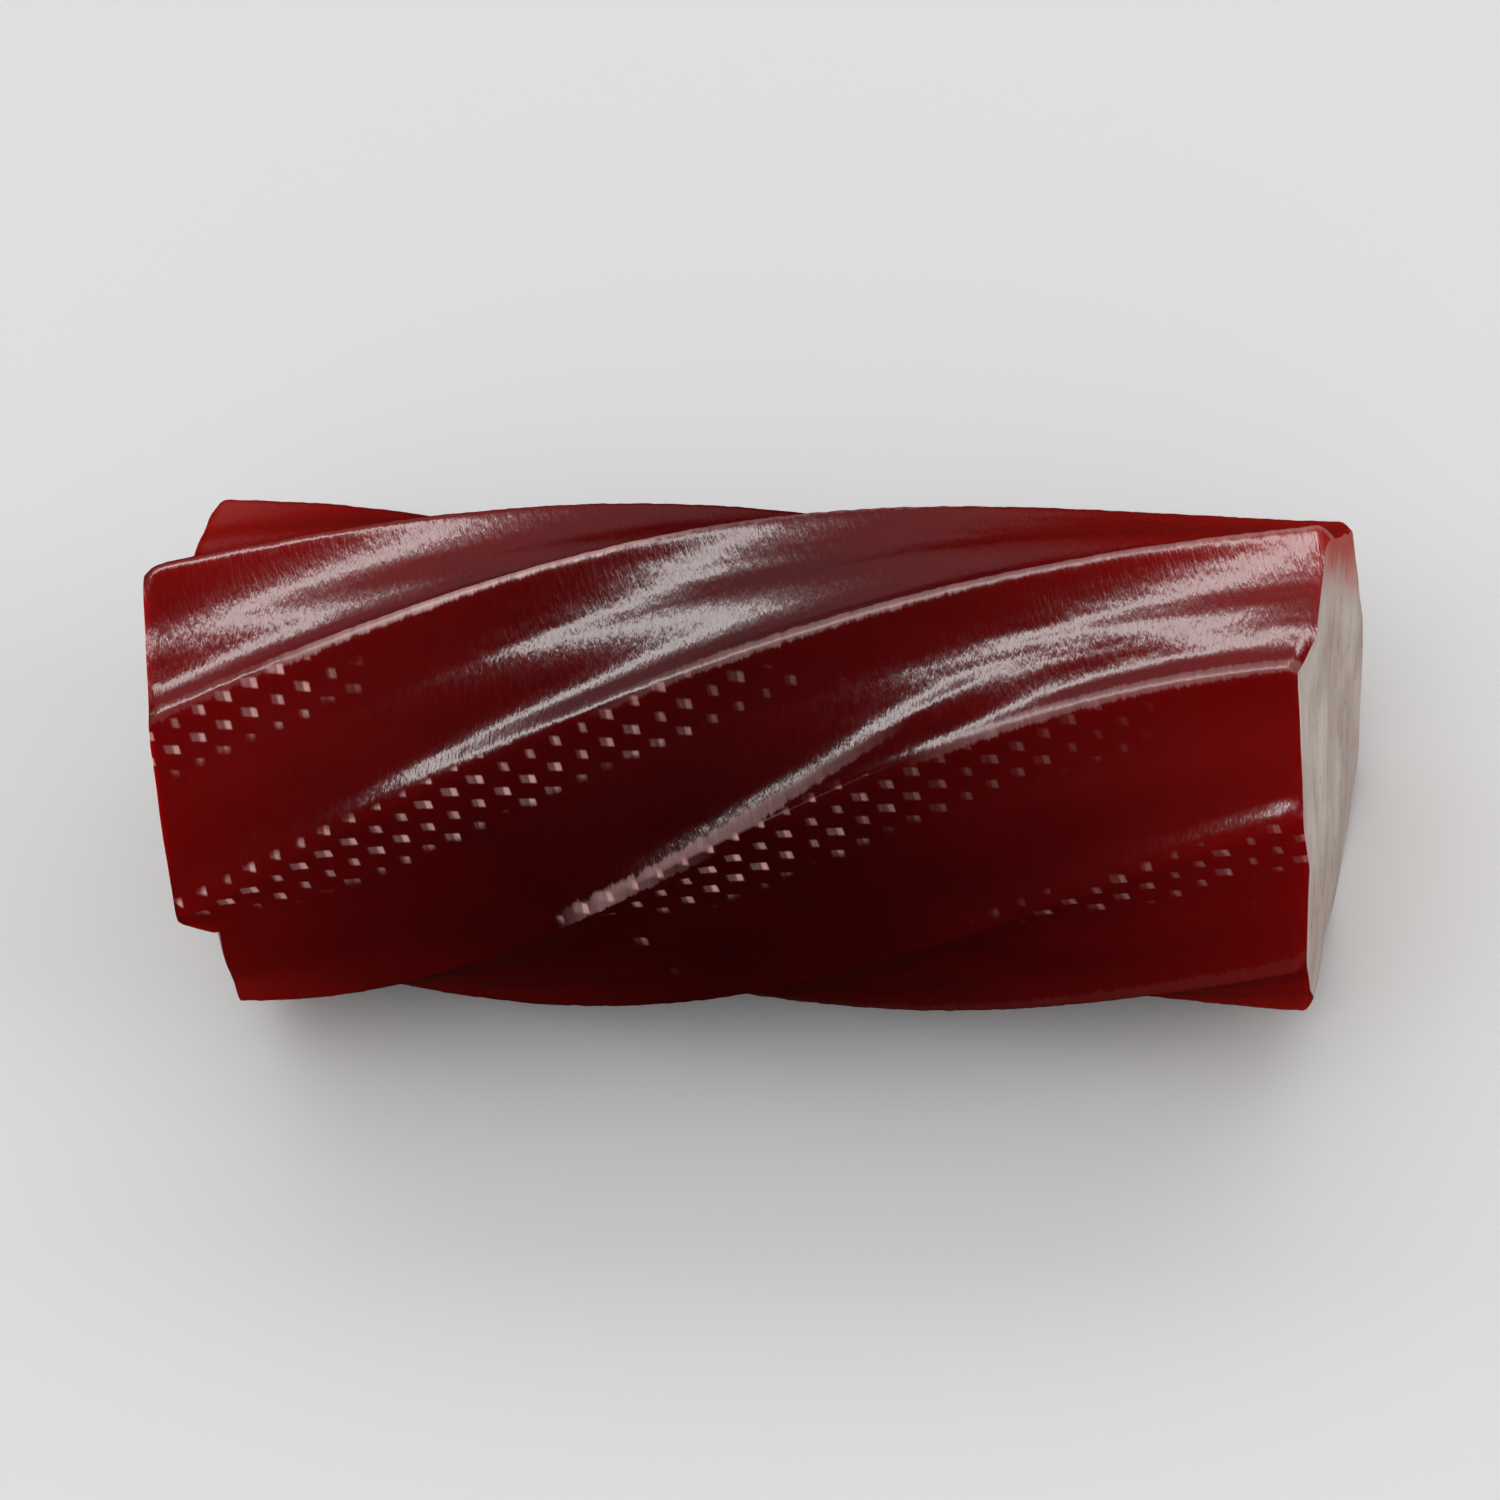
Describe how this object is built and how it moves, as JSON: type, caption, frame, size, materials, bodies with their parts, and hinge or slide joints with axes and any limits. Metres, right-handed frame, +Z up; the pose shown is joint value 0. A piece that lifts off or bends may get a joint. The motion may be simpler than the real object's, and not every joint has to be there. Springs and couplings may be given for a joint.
{
  "type": "red licorice piece",
  "caption": "Short twisted piece of soft red licorice with saw-tooth fins along it and a knife cut at each end, lying on its side.",
  "frame": {"origin": "centre of the footprint's box, on the surface that the piece lies on", "axes": "+X along the piece, +Z up, the side seen in the picture towards -Y"},
  "size_m": [0.0352, 0.0154, 0.0131],
  "materials": {
    "licorice": "glossy translucent dark red, with dull pale cut ends"
  },
  "bodies": {
    "root": {"licorice_piece": "licorice"}
  },
  "joints": []
}
